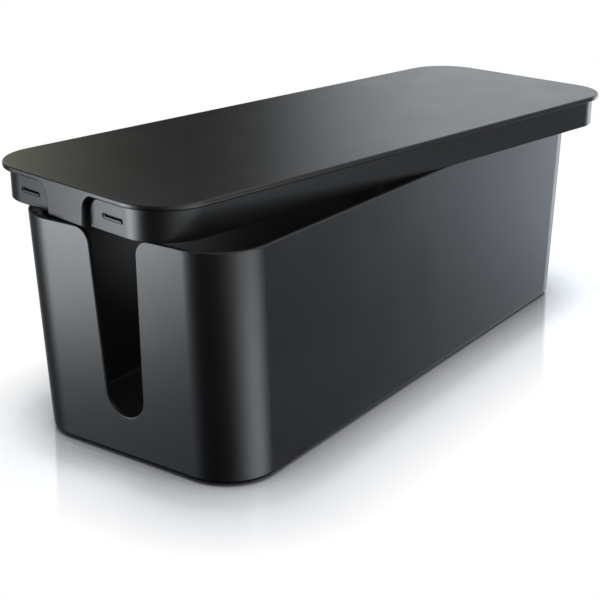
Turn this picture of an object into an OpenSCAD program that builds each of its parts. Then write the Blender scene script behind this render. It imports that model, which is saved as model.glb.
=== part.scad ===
/* [Tub] */
// Outside length of the tub at its rim
tub_l = 400; // [340:5:460]
// Outside width of the tub at its rim
tub_w = 152; // [138:1:180]
// Height of the rim above the surface that the box stands on
tub_h = 130; // [115:1:150]
// Outside radius of the tub's upright corners
corner_r = 30; // [24:1:34]
// How far each end wall leans in, from the rim down to the surface below
end_draft = 6; // [3:0.5:8]
// How far each long wall leans in, from the rim down to the surface below
side_draft = 1.5; // [0.5:0.5:3]
// Thickness of the tub's walls
wall_t = 2.4; // [2:0.1:3]
// Thickness of the tub's bottom
bottom_t = 2.4; // [2:0.1:3.5]
// Rounding between the walls and the bottom
base_round = 2.4; // [1.5:0.1:3.5]
// Rounding of the rim's outer edge
rim_round = 0.6; // [0.3:0.1:1]

/* [Cable slots] */
// Width of a slot where its straight sides would meet the rim
slot_mouth_w = 32.4; // [30:0.2:36]
// Radius of the round bottom of a slot
slot_r = 12.8; // [10:0.2:14]
// Height of a slot's lowest point above the surface that the box stands on
slot_low_z = 26.4; // [18:0.2:40]
// Radius of the wall's two corners at a slot's mouth
slot_corner_r = 9; // [6:0.5:10]

/* [Lid] */
// How far the lid's plate reaches past the rim on every side
lip_over = 0.5; // [0.2:0.1:1]
// Height of the plate's visible edge
lip_h = 3.2; // [2.8:0.1:4.5]
// Thickness of the plate inside its edge
plate_t = 2.4; // [2:0.1:2.7]
// Rounding of the plate's top edge
plate_round = 0.9; // [0.4:0.1:1.4]
// Depth of the skirt below the plate's edge
skirt_h = 17.2; // [14:0.2:22]
// Thickness of the skirt
skirt_t = 2; // [1.6:0.1:2.4]
// Clearance of the closed lid's skirt to the inside of the tub
skirt_gap = 0.25; // [0.2:0.05:0.6]
// Turn of the lid about the upright axis, as it lies loose across the rim
lid_angle = -9.6; // [-13:0.1:-6]

/* [Lid tabs] */
// Thickness of a tab, which closes the top of a slot
tab_t = 3; // [2.2:0.1:3.4]
// Clearance of a tab to the sides of its slot
tab_gap = 0.5; // [0.3:0.1:1]
// Width of the gap between a tab and the skirt beside it
tab_relief = 1.6; // [1.1:0.1:3]

/* [Snap ribs] */
// Distance of a rib pocket's ends from the ends of the flat panel that it is in
pocket_margin = 2; // [1:0.1:3]
// Height of a rib pocket
pocket_h = 3.2; // [3.1:0.1:4.5]
// Depth of a rib pocket in the skirt's outer face
pocket_d = 0.6; // [0.4:0.1:0.9]
// Height of a pocket's middle above the skirt's lower edge
pocket_z = 8.2; // [6:0.2:9]
// Diameter of the rib across the lower half of the pocket
rib_d = 1.5; // [1.2:0.1:1.5]
// How far a rib stands out of the skirt's outer face
rib_out = 0.3; // [0.1:0.1:0.4]
// Gap between a rib or the groove above it and the pocket's edge
rib_edge = 0.15; // [0.05:0.05:0.15]
// Height of the groove above a rib
groove_h = 1.3; // [0.8:0.1:1.3]
// Depth of the groove in the skirt's outer face
groove_d = 1.4; // [1:0.1:1.4]

/* [Feet] */
// Diameter of a foot
foot_d = 14; // [10:1:18]
// Height of a foot below the tub's bottom
foot_out = 1.5; // [1:0.1:2.5]
// Depth of the seat that holds a foot
foot_seat = 0.8; // [0.5:0.1:1.2]
// Clearance around a foot in its seat
foot_gap = 0.3; // [0.1:0.1:0.5]
// Bevel around a foot's lower edge
foot_bevel = 0.5; // [0.2:0.1:0.8]
// Distance of a foot's middle from the straight edges of the tub's bottom
foot_inset = 26; // [22:1:34]

/* [Hidden] */

fine_fn = 96;      // round parts that stay true circles
shell_fn = 48;     // corners of the leaning walls
round_step = 22.5; // angle between the sheets of a rounded edge
sheet = 0.01;      // thickness of the sheets that a wall is stretched between
past = 1;          // how far a cut runs past a face
left = -1;
right = 1;
front = -1;
rear = 1;

tub_z = foot_out;                      // underside of the tub
inner_z = tub_z + bottom_t;            // top of the tub's bottom

slot_mid_z = slot_low_z + slot_r;      // middle of a slot's round bottom
mouth_half_w = slot_mouth_w / 2;
mouth_reach = norm([mouth_half_w, tub_h - slot_mid_z]);
slot_lean = asin(mouth_half_w / mouth_reach) - asin(slot_r / mouth_reach);
corner_mid_z = tub_h - slot_corner_r;  // middle of the rounded corners at a slot's mouth
corner_mid_y = mouth_half_w - slot_corner_r * tan(slot_lean) + slot_corner_r / cos(slot_lean);

closed_z = tub_h - skirt_h;            // lower edge of the skirt when the lid is closed
skirt_half_l = half_l(closed_z) - wall_t - skirt_gap;
skirt_half_w = half_w(closed_z) - wall_t - skirt_gap;
skirt_r = corner_r - wall_t - skirt_gap;
plate_half_l = tub_l / 2 + lip_over;
plate_half_w = tub_w / 2 + lip_over;
plate_r = corner_r + lip_over;

panel_end_y = skirt_half_w - skirt_r;  // the skirt is flat from a slot's corner to here
pocket_y = (corner_mid_y + panel_end_y) / 2;
pocket_l = panel_end_y - corner_mid_y - 2 * pocket_margin;
rib_z = pocket_z - pocket_h / 2 + rib_edge + rib_d / 2;
rib_x = skirt_half_l + rib_out - rib_d / 2;
groove_z = pocket_z + pocket_h / 2 - rib_edge - groove_h / 2;

foot_x = half_l(tub_z) - foot_inset;
foot_y = half_w(tub_z) - foot_inset;

// Half length and half width of the tub's outside at height z
function half_l(z) = tub_l / 2 - end_draft * (tub_h - z) / tub_h;
function half_w(z) = tub_w / 2 - side_draft * (tub_h - z) / tub_h;

// Rectangle with round corners about the origin
module rounded_rect(half_x, half_y, r) {
    square([2 * half_x, 2 * (half_y - r)], center = true);
    square([2 * (half_x - r), 2 * half_y], center = true);
    for (x = [-1, 1], y = [-1, 1])
        translate([x * (half_x - r), y * (half_y - r)])
            circle(r);
}

// Thin sheet with the tub's outline at height z, moved inwards by inset
module tub_sheet(z, inset) {
    translate([0, 0, z - sheet])
        linear_extrude(sheet)
            rounded_rect(half_l(z) - inset, half_w(z) - inset, corner_r - inset, $fn = shell_fn);
}

// Leaning solid from z_low to z_top, inset from the tub's outside, with rounded lower and upper edges
module leaning_solid(inset, z_low, low_r, z_top, top_r) {
    hull() {
        for (a = [0 : round_step : 90]) {
            tub_sheet(z_low + sheet + low_r * (1 - cos(a)), inset + low_r * (1 - sin(a)));
            tub_sheet(z_top - top_r * (1 - cos(a)), inset + top_r * (1 - sin(a)));
        }
    }
}

// Extrusion of a y-z outline along x, from x_low to x_high
module along_x(x_low, x_high) {
    translate([x_low, 0, 0])
        rotate([90, 0, 90])
            linear_extrude(x_high - x_low)
                children();
}

// Outline of a cable slot in y and z, from its round bottom to above the rim, widened by grow
module slot_outline(grow) {
    low_r = slot_r + grow;
    high_r = slot_corner_r - grow;
    low_y = low_r * cos(slot_lean);
    low_z = slot_mid_z - low_r * sin(slot_lean);
    high_y = corner_mid_y - high_r * cos(slot_lean);
    high_z = corner_mid_z + high_r * sin(slot_lean);
    top_z = tub_h + lip_h + past;
    translate([0, slot_mid_z])
        circle(low_r, $fn = fine_fn);
    difference() {
        polygon([
            [-low_y, low_z], [low_y, low_z], [high_y, high_z], [corner_mid_y, high_z],
            [corner_mid_y, top_z], [-corner_mid_y, top_z], [-corner_mid_y, high_z], [-high_y, high_z]
        ]);
        for (side = [-1, 1])
            translate([side * corner_mid_y, corner_mid_z])
                circle(high_r, $fn = fine_fn);
    }
}

// Half of a plate's section, reach long, with its upper outer edge rounded
module edge_section(reach) {
    square([reach, lip_h - plate_round]);
    square([reach - plate_round, lip_h]);
    translate([reach - plate_round, lip_h - plate_round])
        circle(plate_round, $fn = fine_fn);
}

// Whole section of the plate, reach long to both sides
module plate_section(reach) {
    edge_section(reach);
    mirror([1, 0])
        edge_section(reach);
}

// The plate's outer form, with a rounded upper edge all round
module plate_form() {
    straight_l = plate_half_l - plate_r;
    straight_w = plate_half_w - plate_r;
    along_x(-straight_l, straight_l)
        plate_section(plate_half_w);
    rotate([90, 0, 0])
        linear_extrude(2 * straight_w, center = true)
            plate_section(plate_half_l);
    for (x = [-1, 1], y = [-1, 1])
        translate([x * straight_l, y * straight_w, 0])
            rotate_extrude($fn = fine_fn)
                edge_section(plate_r);
}

// Stadium in y and z about the origin, length by height
module stadium(length, height) {
    square([length - height, height], center = true);
    for (side = [-1, 1])
        translate([side * (length - height) / 2, 0])
            circle(height / 2, $fn = fine_fn);
}

// Outline of the skirt's inner faces
module skirt_inside() {
    rounded_rect(skirt_half_l - skirt_t, skirt_half_w - skirt_t, skirt_r - skirt_t, $fn = fine_fn);
}

// Skirt all round, open at both ends where the tabs hang
module skirt() {
    difference() {
        linear_extrude(skirt_h)
            rounded_rect(skirt_half_l, skirt_half_w, skirt_r, $fn = fine_fn);
        translate([0, 0, -past])
            linear_extrude(skirt_h + 2 * past)
                skirt_inside();
        along_x(-plate_half_l, plate_half_l)
            intersection() {
                translate([0, -closed_z])
                    slot_outline(tab_relief - tab_gap);
                translate([-plate_half_w, -past])
                    square([2 * plate_half_w, skirt_h + past]);
            }
    }
}

// Tab at the lid's right end, flush with the plate's edge
module tab() {
    along_x(plate_half_l - tab_t, plate_half_l)
        intersection() {
            translate([0, -closed_z])
                slot_outline(-tab_gap);
            translate([-plate_half_w, 0])
                square([2 * plate_half_w, skirt_h + lip_h - plate_round]);
        }
}

// What is cut from the skirt at one snap rib of the right end: a shallow pocket, with a deeper groove in it
module rib_cut() {
    along_x(skirt_half_l - pocket_d, skirt_half_l + past)
        translate([0, pocket_z])
            stadium(pocket_l, pocket_h);
    along_x(skirt_half_l - groove_d, skirt_half_l)
        translate([0, groove_z])
            stadium(pocket_l - 2 * rib_edge - pocket_h + groove_h, groove_h);
}

// Snap rib with round ends, which holds the closed lid against the inside of the tub
module rib() {
    rib_half_l = (pocket_l - pocket_h) / 2;
    translate([rib_x, 0, rib_z]) {
        rotate([90, 0, 0])
            cylinder(h = 2 * rib_half_l, d = rib_d, center = true, $fn = fine_fn);
        for (side = [-1, 1])
            translate([0, side * rib_half_l, 0])
                sphere(d = rib_d, $fn = fine_fn);
    }
}

// Both ends of the lid and both sides of a tab
module at_ribs() {
    for (end = [left, right], side = [-1, 1])
        at_end(end)
            translate([0, side * pocket_y, 0])
                children();
}

// The given end of the lid, from a child made for its right end
module at_end(end) {
    rotate([0, 0, end == right ? 0 : 180])
        children();
}

module lid() {
    color("#2b2c2e")
        translate([0, 0, tub_h])
            rotate([0, 0, lid_angle]) {
                difference() {
                    union() {
                        skirt();
                        translate([0, 0, skirt_h])
                            plate_form();
                        for (end = [left, right])
                            at_end(end)
                                tab();
                    }
                    translate([0, 0, skirt_h - sheet])
                        linear_extrude(lip_h - plate_t + sheet)
                            skirt_inside();
                    at_ribs()
                        rib_cut();
                }
                at_ribs()
                    rib();
            }
}

module tub() {
    color("#1e1f21")
        difference() {
            leaning_solid(0, tub_z, base_round, tub_h, rim_round);
            leaning_solid(wall_t, inner_z, base_round, tub_h + past, 0);
            along_x(-tub_l / 2 - past, tub_l / 2 + past)
                slot_outline(0);
            for (x = [left, right], y = [front, rear])
                translate([x * foot_x, y * foot_y, tub_z - past])
                    cylinder(h = past + foot_seat, d = foot_d + 2 * foot_gap, $fn = fine_fn);
        }
}

// Round rubber foot at one corner of the tub's bottom
module foot(x_side, y_side) {
    color("#101011")
        translate([x_side * foot_x, y_side * foot_y, 0]) {
            cylinder(h = foot_bevel, d1 = foot_d - 2 * foot_bevel, d2 = foot_d, $fn = fine_fn);
            translate([0, 0, foot_bevel])
                cylinder(h = foot_out + foot_seat - foot_bevel, d = foot_d, $fn = fine_fn);
        }
}

module foot_front_left() {
    foot(left, front);
}

module foot_front_right() {
    foot(right, front);
}

module foot_rear_left() {
    foot(left, rear);
}

module foot_rear_right() {
    foot(right, rear);
}

tub();
lid();
foot_front_left();
foot_front_right();
foot_rear_left();
foot_rear_right();
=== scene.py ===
"""Cable management box: the visual model of the tub, its lid and its feet, and the studio around it."""
import math

import bmesh
import bpy
from mathutils import Matrix, Quaternion, Vector


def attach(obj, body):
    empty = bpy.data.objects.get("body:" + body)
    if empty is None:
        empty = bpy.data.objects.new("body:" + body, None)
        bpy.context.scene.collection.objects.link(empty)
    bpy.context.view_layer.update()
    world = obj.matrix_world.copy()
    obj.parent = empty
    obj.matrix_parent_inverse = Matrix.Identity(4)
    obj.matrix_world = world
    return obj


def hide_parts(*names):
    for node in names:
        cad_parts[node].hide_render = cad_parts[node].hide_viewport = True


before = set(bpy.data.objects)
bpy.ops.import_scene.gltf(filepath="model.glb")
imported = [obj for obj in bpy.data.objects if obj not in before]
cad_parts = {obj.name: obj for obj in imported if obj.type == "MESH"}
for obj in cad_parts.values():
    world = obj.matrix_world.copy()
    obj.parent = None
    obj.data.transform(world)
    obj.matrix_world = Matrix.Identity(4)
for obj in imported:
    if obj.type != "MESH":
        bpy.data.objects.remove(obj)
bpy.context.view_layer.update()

MM = 0.001  # the sizes of the box are in millimetres, and a finished mesh is scaled to metres

# Tub
TUB_L = 400.0
TUB_W = 152.0
TUB_H = 130.0
CORNER_R = 30.0
END_DRAFT = 6.0
SIDE_DRAFT = 1.5
WALL_T = 2.4
BOTTOM_T = 2.4
BASE_ROUND = 2.4
RIM_ROUND = 0.6
INNER_ROUND_SHARE = 0.7  # the rim's inner edge against its outer edge

# Cable slots
SLOT_MOUTH_W = 32.4
SLOT_R = 12.8
SLOT_LOW_Z = 26.4
SLOT_CORNER_R = 9.0

# Lid
LIP_OVER = 0.5
LIP_H = 3.2
PLATE_T = 2.4
PLATE_ROUND = 0.9
SKIRT_H = 17.2
SKIRT_T = 2.0
SKIRT_GAP = 0.25
LID_ANGLE = -9.6
TAB_T = 3.0
TAB_GAP = 0.5
TAB_RELIEF = 1.6
TAB_BACK_SHARE = 0.3  # the tabs' rear edges against their front edges
LIP_ROUND = 1.1  # rounding of the plate's lower edge and the tabs' edges
EDGE_ROUND = 0.35  # rounding of the skirt's edges
SUNK = 0.5  # how far the skirt reaches into the plate before the two are joined
LEDGE = 0.2  # how far the shallow pocket under the plate stays inside the skirt's inner faces

# Snap ribs, each in a pocket with a groove above it
POCKET_MARGIN = 2.0
POCKET_H = 3.2
POCKET_D = 0.6
POCKET_Z = 8.2
RIB_D = 1.5
RIB_SQUARE = 4.0  # how square the rib's section is, where 2 is a circle
RIB_OUT = 0.3
RIB_EDGE = 0.15
GROOVE_H = 1.3
GROOVE_D = 1.4
CUT_PAST = 1.0  # how far the bar that cuts a pocket stands out of the skirt
FACE_NEAR = 0.01  # how exactly the faces of a groove are looked for

# Feet
FOOT_D = 14.0
FOOT_OUT = 1.5
FOOT_SEAT = 0.8
FOOT_GAP = 0.3
FOOT_BEVEL = 0.5
FOOT_INSET = 26.0

# Fineness of the meshes
CORNER_STEPS = 24
ARC_STEPS = 16
ROUND_STEPS = 6
RIB_STEPS = 24
TIP_STEPS = 6
FOOT_STEPS = 64
DOME_STEPS = 64
BEVEL_STEPS = 3
SHARP_ANGLE = math.radians(40)

# Finishes. Grain and patches are per metre, and the grain's depth is in metres.
SATIN = (0.004, 0.004, 0.0042)
WORN = (0.02, 0.02, 0.02)
SATIN_FINISH = {"colour": SATIN, "worn": WORN, "rough": (0.29, 0.32), "grain": 2600.0, "depth": 0.00012}
# Inside of the tub: a rougher, matt finish of its own, with a colour painted lighter than the outside's to
# stand in for light that reaches the inner walls
INNER_LIGHTENED_FINISH = {
    "colour": (0.022, 0.022, 0.023), "worn": WORN, "rough": (0.55, 0.65), "grain": 1500.0, "depth": 0.0002}
# Painted shade: a darker, nearly unreflecting finish on the grooves' walls stands in for the shade inside the
# grooves
GROOVE_SHADE_FINISH = {
    "colour": (0.003, 0.003, 0.003), "worn": SATIN, "rough": (0.85, 0.95), "grain": 1500.0,
    "depth": 0.0001, "shine": 0.05}
RUBBER_FINISH = {
    "colour": (0.012, 0.012, 0.012), "worn": (0.03, 0.03, 0.03), "rough": (0.65, 0.8),
    "grain": 1200.0, "depth": 0.0003}
PLAIN_SHINE = 0.5
PLASTIC_IOR = 1.5
GRAIN_STRENGTH = 0.25
GRAIN_DETAIL = 2.0
SHEEN_PATCHES = 35.0
SHEEN_DETAIL = 5.0
WEAR_PATCHES = 90.0
WEAR_DETAIL = 3.0
WEAR_SPREAD = (0.2, 1.0)
WEAR_MOST = 0.6
EDGE_SPREAD = (0.52, 0.62)  # how pointed an edge is where wear starts and where it is full
NOISE_SPREAD = (0.3, 0.7)  # holds nearly all of a noise pattern
MIX_INPUTS = (0, 6, 7)  # a Mix node's sockets for the share and the two colours
MIX_OUTPUT = 2

# Floor, in metres
WHITE = (1.0, 1.0, 1.0, 1.0)
BLACK = (0.0, 0.0, 0.0, 1.0)
FLOOR_COLOUR = (0.92, 0.935, 0.97, 1.0)
FLOOR_ROUGH = 0.1
FLOOR_IOR = 1.5
FLOOR_METALLIC = 0.3
FLOOR_REACH = 12.0
FLOOR_NEAR = 0.02  # distance from the box at which the floor starts to turn plain white
FLOOR_FAR = 0.068  # distance at which it is plain white
# Painted contact shadow: the floor's colour is darkened where little sky is open close to what stands on it
SHADE_REACH = 0.05
SHADE_SAMPLES = 8
SHADE_SPREAD = (0.47, 0.9)  # how open the floor is where it is darkest and where it isn't shaded
SHADE_LEAST = 0.38

# Studio, in metres and degrees. An azimuth of 0 is towards +Y and 90 is towards +X.
LAMP_WATTS = math.pi  # a square metre of lamp at this power has a brightness of one
SUN_AZIMUTH = -125
SUN_ELEVATION = 72
SUN_WIDTH = 40
SUN_ENERGY = 2.6
SUN_COLOUR = (1.0, 0.99, 0.97)
GAP_SPREAD = 45
FILL_COLOUR = (0.9, 0.97, 1.12, 1.0)
FILL_STRENGTH = 0.31
DOME_R = 6.0
PANEL_PEAK = 5.0
RING_EDGES = ((-0.35, -0.28), (-0.02, 0.02), (0.37, 0.42))  # heights between two rings, in shares of DOME_R
DARK_BELOW = (-0.7, -0.5)  # heights at which the lowest ring fades out, in shares of DOME_R

# Rings of panels on the dome, as stops of (azimuth, brightness, tint)
PLAIN = (1.0, 1.0, 1.0)
WARM = (1.0, 1.0, 0.75)
COOL = (0.94, 1.0, 1.05)
BLUE = (0.9, 1.0, 1.15)
TOP_PANELS = (
    (-180, 0.7, PLAIN), (-90, 0.3, PLAIN), (0, 0.3, PLAIN), (30, 0.9, PLAIN), (43, 0.8, PLAIN),
    (46, 0.15, PLAIN), (56, 0.2, PLAIN), (60, 0.9, PLAIN), (180, 0.7, PLAIN))
HIGH_PANELS = (
    (-180, 0.4, COOL), (-90, 0.2, PLAIN), (-62, 0.3, COOL), (-28, 0.3, COOL), (-16, 0.2, PLAIN),
    (0, 0.3, PLAIN), (34, 1.2, WARM), (43, 0.08, WARM), (47, 0.0, PLAIN), (53, 0.02, PLAIN),
    (58, 0.93, COOL), (62, 1.26, COOL), (68, 1.22, COOL), (120, 1.2, COOL), (140, 0.4, COOL),
    (180, 0.4, COOL))
MIDDLE_PANELS = (
    (-180, 0.6, COOL), (-165, 1.1, COOL), (-150, 1.2, COOL), (-138, 0.9, PLAIN), (-126, 0.4, WARM),
    (-113, 0.15, WARM), (-95, 0.05, PLAIN), (-80, 0.05, PLAIN), (-70, 0.1, BLUE), (-62, 2.0, COOL),
    (-40, 2.5, COOL), (-28, 2.0, COOL), (-16, 0.1, COOL), (10, 0.12, COOL), (24, 0.45, COOL),
    (46, 0.45, COOL), (58, 0.2, COOL), (80, 0.2, COOL), (92, 1.0, COOL), (102, 4.3, COOL),
    (107, 4.2, BLUE), (112, 0.8, BLUE), (117, 0.1, BLUE), (128, 0.1, COOL), (136, 0.2, COOL),
    (150, 0.6, COOL), (180, 0.6, COOL))
LOW_PANELS = (
    (-180, 4.4, COOL), (-165, 2.3, COOL), (-150, 0.6, PLAIN), (-135, 0.06, WARM), (-120, 0.0, PLAIN),
    (-80, 0.0, PLAIN), (-66, 0.35, BLUE), (-58, 0.7, BLUE), (-46, 0.75, BLUE), (-34, 0.5, BLUE),
    (-17, 0.05, WARM), (10, 0.12, COOL), (24, 0.45, COOL), (46, 0.45, COOL), (58, 0.2, COOL),
    (80, 0.2, COOL), (92, 0.6, COOL), (102, 1.6, COOL), (107, 1.8, BLUE), (111, 0.25, BLUE),
    (118, 0.0, BLUE), (126, 0.0, COOL), (136, 0.1, COOL), (150, 2.0, COOL), (163, 4.4, COOL),
    (180, 4.4, COOL))

# Camera, in degrees and millimetres, apart from its clipping in metres
CAMERA_AZIMUTH = -125.002
CAMERA_ELEVATION = 20.575
CAMERA_ROLL = -0.155
CAMERA_DISTANCE = 741.74
CAMERA_TARGET = (-86.04, -36.62, 67.0)
CAMERA_LENS = 77.925
CAMERA_SENSOR = 36.0
CAMERA_CLIP = (0.05, 50.0)

# Worked out from the sizes above
TUB_Z = FOOT_OUT
INNER_Z = TUB_Z + BOTTOM_T
SLOT_MID_Z = SLOT_LOW_Z + SLOT_R
MOUTH_HALF_W = SLOT_MOUTH_W / 2
MOUTH_REACH = math.hypot(MOUTH_HALF_W, TUB_H - SLOT_MID_Z)
SLOT_LEAN = math.asin(MOUTH_HALF_W / MOUTH_REACH) - math.asin(SLOT_R / MOUTH_REACH)
CORNER_MID_Z = TUB_H - SLOT_CORNER_R
CORNER_MID_Y = MOUTH_HALF_W - SLOT_CORNER_R * math.tan(SLOT_LEAN) + SLOT_CORNER_R / math.cos(SLOT_LEAN)
QUARTER_TURN = [math.pi / 2 * step / ROUND_STEPS for step in range(ROUND_STEPS + 1)]
HALF_RING = 2 * (CORNER_STEPS + 1)  # points in half a ring
RING_ENDS = (HALF_RING - 1, 2 * HALF_RING - 1)  # the steps of a ring along the left end and the right end


def half_l(z):
    """Half length of the tub's outside at height z."""
    return TUB_L / 2 - END_DRAFT * (TUB_H - z) / TUB_H


def half_w(z):
    """Half width of the tub's outside at height z."""
    return TUB_W / 2 - SIDE_DRAFT * (TUB_H - z) / TUB_H


CLOSED_Z = TUB_H - SKIRT_H
SKIRT_HALF_L = half_l(CLOSED_Z) - WALL_T - SKIRT_GAP
SKIRT_HALF_W = half_w(CLOSED_Z) - WALL_T - SKIRT_GAP
SKIRT_R = CORNER_R - WALL_T - SKIRT_GAP
PLATE_HALF_L = TUB_L / 2 + LIP_OVER
PLATE_HALF_W = TUB_W / 2 + LIP_OVER
PLATE_R = CORNER_R + LIP_OVER
PANEL_END_Y = SKIRT_HALF_W - SKIRT_R
POCKET_Y = (CORNER_MID_Y + PANEL_END_Y) / 2
POCKET_L = PANEL_END_Y - CORNER_MID_Y - 2 * POCKET_MARGIN
GROOVE_L = POCKET_L - 2 * RIB_EDGE - POCKET_H + GROOVE_H
RIB_Z = POCKET_Z - POCKET_H / 2 + RIB_EDGE + RIB_D / 2
RIB_X = SKIRT_HALF_L + RIB_OUT - RIB_D / 2
GROOVE_Z = POCKET_Z + POCKET_H / 2 - RIB_EDGE - GROOVE_H / 2
FOOT_X = half_l(TUB_Z) - FOOT_INSET
FOOT_Y = half_w(TUB_Z) - FOOT_INSET
CORNER_MIDS = ((half_l(TUB_Z) - CORNER_R) * MM, (half_w(TUB_Z) - CORNER_R) * MM, 0.0)


# ---------------------------------------------------------------- mesh helpers

def arc(mid_u, mid_v, r, start, end, steps):
    """Points of an arc in a plane of axes u and v, from angle start to angle end, in radians."""
    turns = [start + (end - start) * step / steps for step in range(steps + 1)]
    return [(mid_u + r * math.cos(a), mid_v + r * math.sin(a)) for a in turns]


def ring(half_x, half_y, r, z):
    """Points of a rectangle with round corners at height z, counter-clockwise from the +X side."""
    points = []
    for corner, (x_side, y_side) in enumerate([(1, 1), (-1, 1), (-1, -1), (1, -1)]):
        start = corner * math.pi / 2
        curve = arc(x_side * (half_x - r), y_side * (half_y - r), r, start, start + math.pi / 2, CORNER_STEPS)
        points += [(x, y, z) for x, y in curve]
    return points


def add_points(bm, points):
    """The points as new vertices of bm."""
    return [bm.verts.new(p) for p in points]


def add_band(bm, low, high, closed=True, skip=()):
    """Faces between two rows of vertices, apart from the steps in skip."""
    count = len(low) if closed else len(low) - 1
    for i in range(count):
        j = (i + 1) % len(low)
        if i not in skip:
            bm.faces.new([low[i], low[j], high[j], high[i]])


def weigh(bm, row, weight, closed=True):
    """Gives the edges along a row of vertices their share of the bevel."""
    layer = bm.edges.layers.float.get("bevel_weight_edge")
    if layer is None:
        layer = bm.edges.layers.float.new("bevel_weight_edge")
    count = len(row) if closed else len(row) - 1
    for i in range(count):
        edge = bm.edges.get([row[i], row[(i + 1) % len(row)]])
        if edge:
            edge[layer] = weight


def fill_underside(bm, rows):
    """Flat faces that look down, inside the first closed row of vertices and around the others."""
    edges = []
    for row in rows:
        for i in range(len(row)):
            pair = [row[i], row[(i + 1) % len(row)]]
            edges.append(bm.edges.get(pair) or bm.edges.new(pair))
    made = bmesh.ops.triangle_fill(bm, use_beauty=True, use_dissolve=False, edges=edges, normal=(0, 0, -1))
    faces = [f for f in made["geom"] if isinstance(f, bmesh.types.BMFace)]
    for face in faces:
        face.normal_update()
        if face.normal.z > 0:
            face.normal_flip()


def circle_row(bm, mid_x, mid_y, r, z):
    """A horizontal circle of new vertices, for a foot or its seat."""
    turns = [2 * math.pi * step / FOOT_STEPS for step in range(FOOT_STEPS)]
    return add_points(bm, [(mid_x + r * math.cos(a), mid_y + r * math.sin(a), z) for a in turns])


def add_object(name, data):
    """A new object in the scene."""
    obj = bpy.data.objects.new(name, data)
    bpy.context.scene.collection.objects.link(obj)
    return obj


def to_object(bm, name):
    """A new object from bm, which is freed."""
    mesh = bpy.data.meshes.new(name)
    bm.to_mesh(mesh)
    bm.free()
    mesh.shade_smooth()
    return add_object(name, mesh)


def bake(obj):
    """Applies the object's modifiers to its mesh."""
    graph = bpy.context.evaluated_depsgraph_get()
    mesh = bpy.data.meshes.new_from_object(obj.evaluated_get(graph))
    old = obj.data
    obj.modifiers.clear()
    obj.data = mesh
    bpy.data.meshes.remove(old)


def round_edges(obj, width):
    """Rounds the weighted edges of the object's mesh."""
    bevel = obj.modifiers.new("round", "BEVEL")
    bevel.limit_method = "WEIGHT"
    bevel.width = width
    bevel.segments = BEVEL_STEPS
    bevel.miter_outer = "MITER_ARC"
    bake(obj)


def combine(obj, other, operation):
    """Joins, or cuts, obj with another closed object, which is used up."""
    cut = obj.modifiers.new("combine", "BOOLEAN")
    cut.solver = "EXACT"
    cut.operation = operation
    cut.object = other
    bake(obj)
    bpy.data.objects.remove(other)


def finish_mesh(obj, turn=0.0, lift=0.0):
    """Puts the mesh in its place in the frame, in metres, with crisp edges and even shading."""
    place = Matrix.Translation((0, 0, lift)) @ Matrix.Rotation(math.radians(turn), 4, "Z")
    obj.data.transform(Matrix.Scale(MM, 4) @ place)
    obj.data.set_sharp_from_angle(angle=SHARP_ANGLE)
    even = obj.modifiers.new("even_shading", "WEIGHTED_NORMAL")
    even.keep_sharp = True


# ---------------------------------------------------------------- outlines

def mirrored(points):
    """The points on the other side of y = 0, in reverse order."""
    return [(-y, z) for y, z in reversed(points)]


def mouth_corner(r=SLOT_CORNER_R, start=math.pi / 2):
    """The round corner between the rim and a cable slot, in y and z, from its top down, for y above zero."""
    return arc(CORNER_MID_Y, CORNER_MID_Z, r, start, math.pi - SLOT_LEAN, ARC_STEPS)


def slot_outline():
    """Outline of a cable slot in y and z, from the rim at the rear to the rim at the front."""
    mouth = mouth_corner()
    bottom = arc(0, SLOT_MID_Z, SLOT_R, -SLOT_LEAN, SLOT_LEAN - math.pi, 2 * ARC_STEPS)
    return mouth + bottom + mirrored(mouth)


def to_skirt_edge(corner):
    """A mouth corner in z of the lid, and its straight side down to the skirt's lower edge."""
    side = [(y, z - CLOSED_Z) for y, z in corner]
    low_y = side[-1][0] - side[-1][1] * math.tan(SLOT_LEAN)
    return side + [(low_y, 0)]


def tab_outline():
    """Outline of a tab in y and z of the lid, from the lip at the rear to the lip at the front."""
    r = SLOT_CORNER_R + TAB_GAP
    mid_z = CORNER_MID_Z - CLOSED_Z
    start = math.pi - math.asin((SKIRT_H - mid_z) / r)
    half = to_skirt_edge(mouth_corner(r, start))
    return half + mirrored(half)


def panel_outline():
    """Edge of the skirt's flat panel beside a tab, in y and z of the lid, from its top down."""
    half = to_skirt_edge(mouth_corner(SLOT_CORNER_R - (TAB_RELIEF - TAB_GAP)))
    return [(half[0][0], SKIRT_H + SUNK)] + half


# ---------------------------------------------------------------- tub

def tub_skin(bm, inset, floor_z):
    """One side of the tub's wall and bottom. Gives its base's edge, and its edge along rim and slots."""
    rows = []
    for a in QUARTER_TURN:
        z = floor_z + BASE_ROUND * (1 - math.cos(a))
        off = inset + BASE_ROUND * (1 - math.sin(a))
        rows.append(add_points(bm, ring(half_l(z) - off, half_w(z) - off, CORNER_R - off, z)))
    rim = add_points(bm, ring(half_l(TUB_H) - inset, half_w(TUB_H) - inset, CORNER_R - inset, TUB_H))
    for low, high in zip(rows, rows[1:]):
        add_band(bm, low, high)
    wall = rows[-1]
    add_band(bm, wall, rim, skip=RING_ENDS)
    outline = slot_outline()
    left = add_points(bm, [(-(half_l(z) - inset), y, z) for y, z in outline])
    right = add_points(bm, [(half_l(z) - inset, -y, z) for y, z in outline])
    for last, slot in zip(RING_ENDS, (left, right)):
        first = (last + 1) % len(wall)
        bm.faces.new([wall[last], wall[first], rim[first]] + slot[::-1] + [rim[last]])
    edge = rim[:HALF_RING] + left + rim[HALF_RING:] + right
    return rows[0], edge


def foot_places():
    """Names and middles of the four feet."""
    for x_side, x_name in ((-1, "left"), (1, "right")):
        for y_side, y_name in ((-1, "front"), (1, "rear")):
            yield f"foot_{y_name}_{x_name}", x_side * FOOT_X, y_side * FOOT_Y


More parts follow.
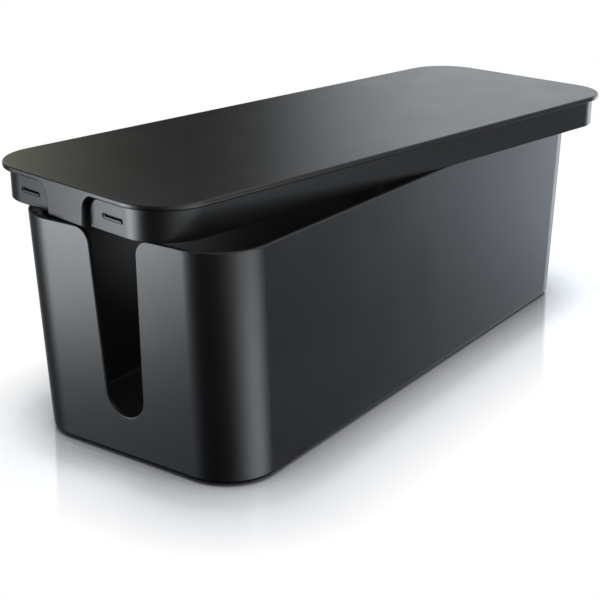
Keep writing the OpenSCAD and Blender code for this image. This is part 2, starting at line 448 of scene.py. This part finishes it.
def add_seats(bm):
    """The seats of the feet in the tub's underside. Gives their lower edges."""
    edges = []
    r = FOOT_D / 2 + FOOT_GAP
    for _, x, y in foot_places():
        low = circle_row(bm, x, y, r, TUB_Z)
        high = circle_row(bm, x, y, r, TUB_Z + FOOT_SEAT)
        add_band(bm, high, low)
        bm.faces.new(high[::-1])
        edges.append(low)
    return edges


def make_tub():
    """The tub: a thin leaning shell with a rounded rim, two cable slots and four seats for the feet."""
    bm = bmesh.new()
    base, outer_edge = tub_skin(bm, 0, TUB_Z)
    outer_faces = set(bm.faces)
    inner_base, inner_edge = tub_skin(bm, WALL_T, INNER_Z)
    # The inner skin takes the second material, whose colour is painted lighter to stand in for light on the
    # inner walls
    for face in bm.faces:
        if face not in outer_faces:
            face.normal_flip()
            face.material_index = 1
    bm.faces.new(inner_base).material_index = 1
    add_band(bm, outer_edge, inner_edge)
    weigh(bm, outer_edge, 1.0)
    weigh(bm, inner_edge, INNER_ROUND_SHARE)
    fill_underside(bm, [base] + add_seats(bm))
    tub = to_object(bm, "tub_shell")
    round_edges(tub, RIM_ROUND)
    finish_mesh(tub)
    return tub


# ---------------------------------------------------------------- lid

def end_points(outline, x_side, x):
    """An outline in y and z, set at one end of the lid so that it runs counter-clockwise from above."""
    return [(x_side * x, -x_side * y, z) for y, z in outline]


def add_tab(bm, x_side, low, high, last):
    """A tab at one end of the plate, under the step after last of the rows low and high.

    Gives the tab's corners under the plate.
    """
    first = (last + 1) % len(low)
    outline = tab_outline()
    front = add_points(bm, end_points(outline, x_side, PLATE_HALF_L))
    back = add_points(bm, end_points(outline, x_side, PLATE_HALF_L - TAB_T))
    bm.faces.new([low[last]] + front + [low[first], high[first], high[last]])
    add_band(bm, back, front, closed=False)
    bm.faces.new(back[::-1])
    weigh(bm, [low[last]] + front + [low[first]], 1.0, closed=False)
    weigh(bm, back, TAB_BACK_SHARE, closed=False)
    return [front[0], back[0], back[-1], front[-1]]


def close_underside(bm, outline):
    """The plate's underside within an outline, with a shallow pocket between the skirt's inner faces."""
    off = SKIRT_T + LEDGE
    pocket = [SKIRT_HALF_L - off, SKIRT_HALF_W - off, SKIRT_R - off]
    mouth = add_points(bm, ring(*pocket, SKIRT_H))
    ceiling = add_points(bm, ring(*pocket, SKIRT_H + LIP_H - PLATE_T))
    fill_underside(bm, [outline, mouth])
    add_band(bm, ceiling, mouth)
    bm.faces.new(ceiling[::-1])


def make_plate():
    """The lid's plate with its rounded upper edge, its two tabs and the shallow pocket under it."""
    bm = bmesh.new()
    low = add_points(bm, ring(PLATE_HALF_L, PLATE_HALF_W, PLATE_R, SKIRT_H))
    rows = []
    for a in QUARTER_TURN:
        off = PLATE_ROUND * (1 - math.cos(a))
        z = SKIRT_H + LIP_H - PLATE_ROUND + PLATE_ROUND * math.sin(a)
        rows.append(add_points(bm, ring(PLATE_HALF_L - off, PLATE_HALF_W - off, PLATE_R - off, z)))
    add_band(bm, low, rows[0], skip=RING_ENDS)
    for lower, upper in zip(rows, rows[1:]):
        add_band(bm, lower, upper)
    bm.faces.new(rows[-1])
    underside = []
    for x_side, half, last in ((-1, low[:HALF_RING], RING_ENDS[0]), (1, low[HALF_RING:], RING_ENDS[1])):
        underside += half + add_tab(bm, x_side, low, rows[0], last)
    weigh(bm, low, 1.0)
    close_underside(bm, underside)
    plate = to_object(bm, "lid_shell")
    round_edges(plate, LIP_ROUND)
    return plate


def skirt_half(bm, y_side):
    """The half of the skirt at the front or the rear, a thin wall from tab to tab."""
    rows = {}
    for inset in (0, SKIRT_T):
        size = [SKIRT_HALF_L - inset, SKIRT_HALF_W - inset, SKIRT_R - inset]
        low = add_points(bm, ring(*size, 0)[:HALF_RING])
        high = add_points(bm, ring(*size, SKIRT_H + SUNK)[:HALF_RING])
        near = add_points(bm, [(size[0], y, z) for y, z in panel_outline()])
        far = add_points(bm, [(-size[0], y, z) for y, z in panel_outline()])
        add_band(bm, low, high, closed=False)
        bm.faces.new([low[0], high[0]] + near)
        bm.faces.new([high[-1], low[-1]] + far[::-1])
        rows[inset] = near + low + far[::-1] + high[::-1]
        weigh(bm, near[1:] + low + far[:0:-1], 1.0, closed=False)
    add_band(bm, rows[SKIRT_T], rows[0])
    if y_side < 0:
        bmesh.ops.rotate(bm, verts=bm.verts, cent=(0, 0, 0), matrix=Matrix.Rotation(math.pi, 3, "Z"))


def make_skirt_half(y_side):
    """One half of the skirt as a closed object with rounded edges."""
    bm = bmesh.new()
    skirt_half(bm, y_side)
    bmesh.ops.recalc_face_normals(bm, faces=bm.faces)
    half = to_object(bm, "skirt_half")
    round_edges(half, EDGE_ROUND)
    return half


def stadium(length, height):
    """Outline of a stadium in y and z, about the origin."""
    r = height / 2
    mid = length / 2 - r
    right = arc(mid, 0, r, -math.pi / 2, math.pi / 2, ARC_STEPS)
    left = arc(-mid, 0, r, math.pi / 2, 3 * math.pi / 2, ARC_STEPS)
    return right + left


def at_ribs():
    """Both ends of the lid and both sides of a tab."""
    for x_side in (-1, 1):
        for y_side in (-1, 1):
            yield x_side, y_side


def make_bars(name, outline, z, x_low, x_high):
    """A bar along x at each snap rib, from x_low to x_high, with the outline as its section."""
    bm = bmesh.new()
    for x_side, y_side in at_ribs():
        ends = []
        for x in (x_low, x_high):
            ends.append(add_points(bm, [(x_side * x, y_side * POCKET_Y + y, z + dz) for y, dz in outline]))
        add_band(bm, ends[0], ends[1])
        bm.faces.new(ends[0])
        bm.faces.new(ends[1])
    bmesh.ops.recalc_face_normals(bm, faces=bm.faces)
    return to_object(bm, name)


def rib_section(r):
    """Points round a rib's section in x and z, a circle with its sides made flatter."""
    points = []
    for step in range(RIB_STEPS):
        a = 2 * math.pi * (step + 0.5) / RIB_STEPS
        circle = (math.cos(a), math.sin(a))
        points.append([r * math.copysign(abs(way) ** (2 / RIB_SQUARE), way) for way in circle])
    return points


def rib_stations(r, half):
    """Places along a rib from end to end, as distances from its middle, and its radius at each."""
    turns = [math.pi / 2 * step / TIP_STEPS for step in range(TIP_STEPS)]
    tip = [(half + r * math.sin(a), r * math.cos(a)) for a in turns]
    return [(-y, radius) for y, radius in reversed(tip)] + tip


def add_rib(bm, x, y):
    """A snap rib about x and y: a bar with round ends."""
    r = RIB_D / 2
    half = (POCKET_L - POCKET_H) / 2
    rows = []
    for along, radius in rib_stations(r, half):
        section = rib_section(radius)
        rows.append(add_points(bm, [(x + dx, y + along, RIB_Z + dz) for dx, dz in section]))
    for low, high in zip(rows, rows[1:]):
        add_band(bm, low, high)
    for row, sign in ((rows[0], -1), (rows[-1], 1)):
        tip = bm.verts.new((x, y + sign * (half + r), RIB_Z))
        for i in range(RIB_STEPS):
            bm.faces.new([row[i], row[(i + 1) % RIB_STEPS], tip])


def make_ribs():
    """The four snap ribs."""
    bm = bmesh.new()
    for x_side, y_side in at_ribs():
        add_rib(bm, x_side * RIB_X, y_side * POCKET_Y)
    bmesh.ops.recalc_face_normals(bm, faces=bm.faces)
    return to_object(bm, "ribs")


def shade_grooves(lid):
    """Gives the walls of the grooves above the ribs the second material, a painted shade: darker and nearly
    without reflection.
    """
    low_x = SKIRT_HALF_L - GROOVE_D - FACE_NEAR
    high_x = SKIRT_HALF_L - POCKET_D - FACE_NEAR
    for face in lid.data.polygons:
        x, y, z = (abs(way) for way in face.center)
        in_height = abs(z - GROOVE_Z) < GROOVE_H / 2 + FACE_NEAR
        in_length = abs(y - POCKET_Y) < GROOVE_L / 2 + FACE_NEAR
        if low_x < x < high_x and in_height and in_length:
            face.material_index = 1


def make_lid():
    """The lid in one moulding: plate, tabs, skirt and snap ribs."""
    lid = make_plate()
    for y_side in (-1, 1):
        combine(lid, make_skirt_half(y_side), "UNION")
    pocket = stadium(POCKET_L, POCKET_H)
    pockets = make_bars("pockets", pocket, POCKET_Z, SKIRT_HALF_L - POCKET_D, SKIRT_HALF_L + CUT_PAST)
    combine(lid, pockets, "DIFFERENCE")
    groove = stadium(GROOVE_L, GROOVE_H)
    grooves = make_bars("grooves", groove, GROOVE_Z, SKIRT_HALF_L - GROOVE_D, SKIRT_HALF_L)
    combine(lid, grooves, "DIFFERENCE")
    combine(lid, make_ribs(), "UNION")
    shade_grooves(lid)
    finish_mesh(lid, turn=LID_ANGLE, lift=TUB_H)
    return lid


# ---------------------------------------------------------------- feet

def make_foot(name, x, y):
    """A round rubber foot with a rounded lower edge."""
    bm = bmesh.new()
    r = FOOT_D / 2
    rows = []
    for a in QUARTER_TURN:
        off = FOOT_BEVEL * (1 - math.sin(a))
        rows.append(circle_row(bm, x, y, r - off, FOOT_BEVEL * (1 - math.cos(a))))
    rows.append(circle_row(bm, x, y, r, FOOT_OUT + FOOT_SEAT))
    for low, high in zip(rows, rows[1:]):
        add_band(bm, low, high)
    bm.faces.new(rows[0][::-1])
    bm.faces.new(rows[-1])
    foot = to_object(bm, name + "_rubber")
    finish_mesh(foot)
    return foot


# ---------------------------------------------------------------- shader nodes

def feed(tree, socket, value):
    """Gives an input its value, or a link where the value is another node's output."""
    if isinstance(value, bpy.types.NodeSocket):
        tree.links.new(value, socket)
    else:
        socket.default_value = value


def node(tree, kind, *inputs, **values):
    """A new shader node. The inputs fill its first sockets, the values its properties and named sockets."""
    made = tree.nodes.new(kind)
    for key, value in values.items():
        if hasattr(made, key):
            setattr(made, key, value)
        else:
            feed(tree, made.inputs[key.replace("_", " ")], value)
    for socket, value in zip(made.inputs, inputs):
        feed(tree, socket, value)
    return made


def spread(tree, value, source, result=(0.0, 1.0)):
    """The value, stretched from the range source to the range result and held inside it."""
    return node(tree, "ShaderNodeMapRange", value, *source, *result).outputs["Result"]


def calculate(tree, operation, first, second):
    """The result of a calculation with two numbers."""
    return node(tree, "ShaderNodeMath", first, second, operation=operation).outputs[0]


def blend(tree, share, first, second):
    """A colour from first to second by share."""
    made = node(tree, "ShaderNodeMix", data_type="RGBA")
    for number, value in zip(MIX_INPUTS, (share, first, second)):
        feed(tree, made.inputs[number], value)
    return made.outputs[MIX_OUTPUT]


def noise(tree, place, scale, detail):
    """A noise pattern of the given scale, per metre."""
    return node(tree, "ShaderNodeTexNoise", Vector=place, Scale=scale, Detail=detail).outputs["Fac"]


def seen_directly(tree):
    """One for the camera's rays and those off gloss and through glass, and nought for all others."""
    path = node(tree, "ShaderNodeLightPath")
    shiny = calculate(tree, "MAXIMUM", path.outputs["Is Camera Ray"], path.outputs["Is Glossy Ray"])
    return calculate(tree, "MAXIMUM", shiny, path.outputs["Is Transmission Ray"])


def new_material(name):
    """A new material, with its node tree and the socket for its surface."""
    material = bpy.data.materials.new(name)
    material.use_nodes = True
    tree = material.node_tree
    tree.nodes.clear()
    return material, tree, node(tree, "ShaderNodeOutputMaterial").inputs["Surface"]


# ---------------------------------------------------------------- materials

def worn_colour(tree, place, colour, worn):
    """The plastic's colour, with patches of the worn colour along its edges."""
    pointed = node(tree, "ShaderNodeNewGeometry").outputs["Pointiness"]
    edges = spread(tree, pointed, EDGE_SPREAD, (0.0, WEAR_MOST))
    patches = spread(tree, noise(tree, place, WEAR_PATCHES, WEAR_DETAIL), NOISE_SPREAD, WEAR_SPREAD)
    wear = calculate(tree, "MULTIPLY", edges, patches)
    return blend(tree, wear, (*colour, 1.0), (*worn, 1.0))


def plastic(name, colour, worn, rough, grain, depth, shine=PLAIN_SHINE):
    """Moulded plastic or rubber: a fine grain, an uneven sheen, and edges polished by handling."""
    material, tree, surface = new_material(name)
    place = node(tree, "ShaderNodeTexCoord").outputs["Object"]
    shader = node(tree, "ShaderNodeBsdfPrincipled", IOR=PLASTIC_IOR, Specular_IOR_Level=shine)
    feed(tree, shader.inputs["Base Color"], worn_colour(tree, place, colour, worn))
    sheen = spread(tree, noise(tree, place, SHEEN_PATCHES, SHEEN_DETAIL), NOISE_SPREAD, rough)
    feed(tree, shader.inputs["Roughness"], sheen)
    texture = noise(tree, place, grain, GRAIN_DETAIL)
    bump = node(tree, "ShaderNodeBump", Strength=GRAIN_STRENGTH, Distance=depth, Height=texture)
    feed(tree, shader.inputs["Normal"], bump.outputs["Normal"])
    feed(tree, surface, shader.outputs["BSDF"])
    return material


def painted_shadow_floor_colour(tree):
    """The floor's colour with a painted contact shadow: darker close to what stands on it."""
    open_sky = node(tree, "ShaderNodeAmbientOcclusion", samples=SHADE_SAMPLES, Distance=SHADE_REACH)
    share = spread(tree, open_sky.outputs["AO"], SHADE_SPREAD, (SHADE_LEAST, 1.0))
    return blend(tree, share, BLACK, FLOOR_COLOUR)


def far_from_box(tree):
    """Nought at the box and one further off, by the distance from its round outline."""
    reach = node(tree, "ShaderNodeTexCoord").outputs["Object"]
    for operation, *value in (("ABSOLUTE",), ("SUBTRACT", CORNER_MIDS), ("MAXIMUM", (0.0, 0.0, 0.0))):
        reach = node(tree, "ShaderNodeVectorMath", reach, *value, operation=operation).outputs["Vector"]
    distance = node(tree, "ShaderNodeVectorMath", reach, operation="LENGTH").outputs["Value"]
    corner = CORNER_R * MM
    return spread(tree, distance, (corner + FLOOR_NEAR, corner + FLOOR_FAR))


def floor_material():
    """Glossy white table top that keeps the box's shadow from the lamps, with a painted contact shadow in its
    colour, and looks plain white further off.
    """
    material, tree, surface = new_material("studio_floor")
    table = node(tree, "ShaderNodeBsdfPrincipled", Base_Color=painted_shadow_floor_colour(tree), Roughness=FLOOR_ROUGH,
                 IOR=FLOOR_IOR, Metallic=FLOOR_METALLIC)
    white = node(tree, "ShaderNodeEmission", Color=WHITE, Strength=1.0)
    share = calculate(tree, "MULTIPLY", far_from_box(tree), seen_directly(tree))
    mix = node(tree, "ShaderNodeMixShader", share, table.outputs[0], white.outputs[0])
    feed(tree, surface, mix.outputs[0])
    return material


def panel_ramp(tree, azimuth, panels):
    """Light round the studio from a list of (azimuth, brightness, tint), as a share of PANEL_PEAK."""
    ramp = node(tree, "ShaderNodeValToRGB", azimuth)
    stops = ramp.color_ramp.elements
    while len(stops) > 1:
        stops.remove(stops[-1])
    stops[0].position = 0.0
    for angle, _, _ in panels[1:]:
        stops.new((angle + 180) / 360)
    for stop, (_, bright, tint) in zip(stops, panels):
        stop.color = tuple(bright / PANEL_PEAK * part for part in tint) + (1.0,)
    return ramp.outputs["Color"]


def dome_material():
    """Four rings of light and dark panels round the table."""
    material, tree, surface = new_material("studio_panels")
    place = node(tree, "ShaderNodeTexCoord").outputs["Object"]
    x, y, z = node(tree, "ShaderNodeSeparateXYZ", place).outputs
    azimuth = spread(tree, calculate(tree, "ARCTAN2", x, y), (-math.pi, math.pi))
    colour = panel_ramp(tree, azimuth, LOW_PANELS)
    for panels, (low, high) in zip((MIDDLE_PANELS, HIGH_PANELS, TOP_PANELS), RING_EDGES):
        share = spread(tree, z, (low * DOME_R, high * DOME_R))
        colour = blend(tree, share, colour, panel_ramp(tree, azimuth, panels))
    low, high = DARK_BELOW
    strength = spread(tree, z, (low * DOME_R, high * DOME_R), (0.0, PANEL_PEAK))
    glow = node(tree, "ShaderNodeEmission", Color=colour, Strength=strength)
    feed(tree, surface, glow.outputs[0])
    return material


def card_material(name, radiance, soft):
    """A glow that changes along y from one radiance to the other and fades towards both sides."""
    material, tree, surface = new_material(name)
    place = node(tree, "ShaderNodeTexCoord").outputs["Generated"]
    x, y, _ = node(tree, "ShaderNodeSeparateXYZ", place).outputs
    low_side = spread(tree, x, (0.0, soft[0]))
    high_side = spread(tree, x, (1.0, 1.0 - soft[1]))
    sides = calculate(tree, "MULTIPLY", low_side, high_side)
    strength = calculate(tree, "MULTIPLY", sides, spread(tree, y, (0.0, 1.0), radiance))
    glow = node(tree, "ShaderNodeEmission", Color=(*COOL, 1.0), Strength=strength)
    feed(tree, surface, glow.outputs[0])
    return material


# ---------------------------------------------------------------- studio

def direction(azimuth, elevation):
    """Unit vector towards an azimuth and elevation in degrees."""
    turn = math.radians(azimuth)
    rise = math.radians(elevation)
    return Vector((math.sin(turn) * math.cos(rise), math.cos(turn) * math.cos(rise), math.sin(rise)))


def aim(obj, at, to, roll=0.0):
    """Puts obj at a point so that it faces another, turned about that line by roll degrees."""
    obj.location = at
    obj.rotation_mode = "QUATERNION"
    facing = (Vector(to) - Vector(at)).to_track_quat("-Z", "Y")
    obj.rotation_quaternion = facing @ Quaternion((0, 0, 1), math.radians(roll))


def square(bm, half_x, half_y):
    """A flat face about the origin."""
    corners = [(-half_x, -half_y), (half_x, -half_y), (half_x, half_y), (-half_x, half_y)]
    bm.faces.new(add_points(bm, [(x, y, 0) for x, y in corners]))


def only_reflected(obj):
    """A part of the studio that shows in reflections alone."""
    obj.visible_camera = False
    obj.visible_diffuse = False
    obj.visible_transmission = False
    obj.visible_shadow = False


def make_floor():
    """A wide table top under the feet. The box's own gloss doesn't show it."""
    bm = bmesh.new()
    square(bm, FLOOR_REACH, FLOOR_REACH)
    floor = to_object(bm, "floor")
    floor.data.materials.append(floor_material())
    floor.visible_glossy = False


def make_dome():
    """The studio's panels: a wide sphere that only reflections see."""
    bm = bmesh.new()
    bmesh.ops.create_uvsphere(bm, u_segments=DOME_STEPS, v_segments=DOME_STEPS // 2, radius=DOME_R)
    dome = to_object(bm, "studio_panels")
    dome.data.materials.append(dome_material())
    only_reflected(dome)


def make_world():
    """White surroundings for the camera, and a low even fill."""
    world = bpy.data.worlds.new("studio")
    bpy.context.scene.world = world
    world.use_nodes = True
    tree = world.node_tree
    tree.nodes.clear()
    seen = node(tree, "ShaderNodeBackground", Color=WHITE, Strength=1.0)
    fill = node(tree, "ShaderNodeBackground", Color=FILL_COLOUR, Strength=FILL_STRENGTH)
    mix = node(tree, "ShaderNodeMixShader", seen_directly(tree), fill.outputs[0], seen.outputs[0])
    node(tree, "ShaderNodeOutputWorld", Surface=mix.outputs[0])


def card(name, at, to, roll, size, radiance, soft):
    """A glowing card that only reflections see, fading towards both sides over soft shares of its width."""
    bm = bmesh.new()
    square(bm, size[0] / 2, size[1] / 2)
    obj = to_object(bm, name)
    obj.data.materials.append(card_material(name, radiance, soft))
    aim(obj, at, to, roll)
    only_reflected(obj)


def softbox(name, at, to, size, radiance):
    """A rectangular lamp that the camera doesn't see."""
    lamp = bpy.data.lights.new(name, "AREA")
    lamp.shape = "RECTANGLE"
    lamp.size, lamp.size_y = size
    lamp.energy = radiance * LAMP_WATTS * size[0] * size[1]
    obj = add_object(name, lamp)
    aim(obj, at, to)
    obj.visible_camera = False
    return obj


def make_sun():
    """Broad soft light from above."""
    sun = bpy.data.lights.new("overhead", "SUN")
    sun.angle = math.radians(SUN_WIDTH)
    sun.energy = SUN_ENERGY
    sun.color = SUN_COLOUR
    lamp = add_object("overhead", sun)
    aim(lamp, direction(SUN_AZIMUTH, SUN_ELEVATION), (0, 0, 0))
    lamp.visible_camera = False
    lamp.visible_glossy = False


def make_lights():
    """Light from above and from the front, a card for reflections, and small lights for gap and inside."""
    make_sun()
    softbox("front_right", at=(-0.05, -0.9, 0.5), to=(-0.05, 0, 0.06), size=(0.5, 0.4), radiance=4.0)
    card("left_rear", at=(-0.4555, 0.2749, -0.0065), to=(-0.1975, 0.0019, -0.0065), roll=-10,
         size=(0.35, 0.227), radiance=(2.9, 18.3), soft=(0.56, 0.58))
    gap = softbox("gap_light", at=(-0.125, -0.035, 0.12), to=(-0.07, 0.073, 0.086),
                  size=(0.08, 0.012), radiance=29.0)
    gap.data.spread = math.radians(GAP_SPREAD)
    inside = softbox("inside_light", at=(0.0, 0.0, 0.115), to=(0.0, 0.0, 0.0), size=(0.36, 0.1), radiance=3.0)
    inside.visible_glossy = False


def make_camera():
    """The camera, above and in front of the box's left end."""
    back = direction(CAMERA_AZIMUTH, CAMERA_ELEVATION)
    side = Vector((0, 0, 1)).cross(back).normalized()
    up = back.cross(side)
    roll = math.radians(CAMERA_ROLL)
    right = side * math.cos(roll) + up * math.sin(roll)
    top = up * math.cos(roll) - side * math.sin(roll)
    data = bpy.data.cameras.new("camera")
    data.sensor_width = CAMERA_SENSOR
    data.lens = CAMERA_LENS
    data.clip_start, data.clip_end = CAMERA_CLIP
    axes = Matrix((right, top, back)).transposed().to_4x4()
    place = Vector(CAMERA_TARGET) * MM + back * (CAMERA_DISTANCE * MM)
    camera = add_object("camera", data)
    camera.matrix_world = Matrix.Translation(place) @ axes
    bpy.context.scene.camera = camera


# ---------------------------------------------------------------- the object

def dress(obj, materials, body, slot, *nodes):
    """Gives a piece its materials, and says what it rides on and stands for."""
    obj.data.materials.clear()
    for material in materials:
        obj.data.materials.append(material)
    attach(obj, body)
    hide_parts(*nodes)


def make_pieces():
    """The tub, the lid and the feet, with their finishes."""
    tub_plastic = plastic("tub_plastic", **SATIN_FINISH)
    inner_lightened_plastic = plastic("tub_inner_lightened_plastic", **INNER_LIGHTENED_FINISH)
    lid_plastic = plastic("lid_plastic", **SATIN_FINISH)
    groove_shade_plastic = plastic("lid_groove_shade_plastic", **GROOVE_SHADE_FINISH)
    foot_rubber = plastic("foot_rubber", **RUBBER_FINISH)
    dress(make_tub(), [tub_plastic, inner_lightened_plastic], "tub", "tub_plastic", "tub")
    dress(make_lid(), [lid_plastic, groove_shade_plastic], "lid", "lid_plastic", "lid")
    for name, x, y in foot_places():
        dress(make_foot(name, x, y), [foot_rubber], "tub", "foot_rubber", name)


make_camera()
make_pieces()
make_floor()
make_dome()
make_world()
make_lights()
bpy.context.scene.view_settings.view_transform = "Standard"
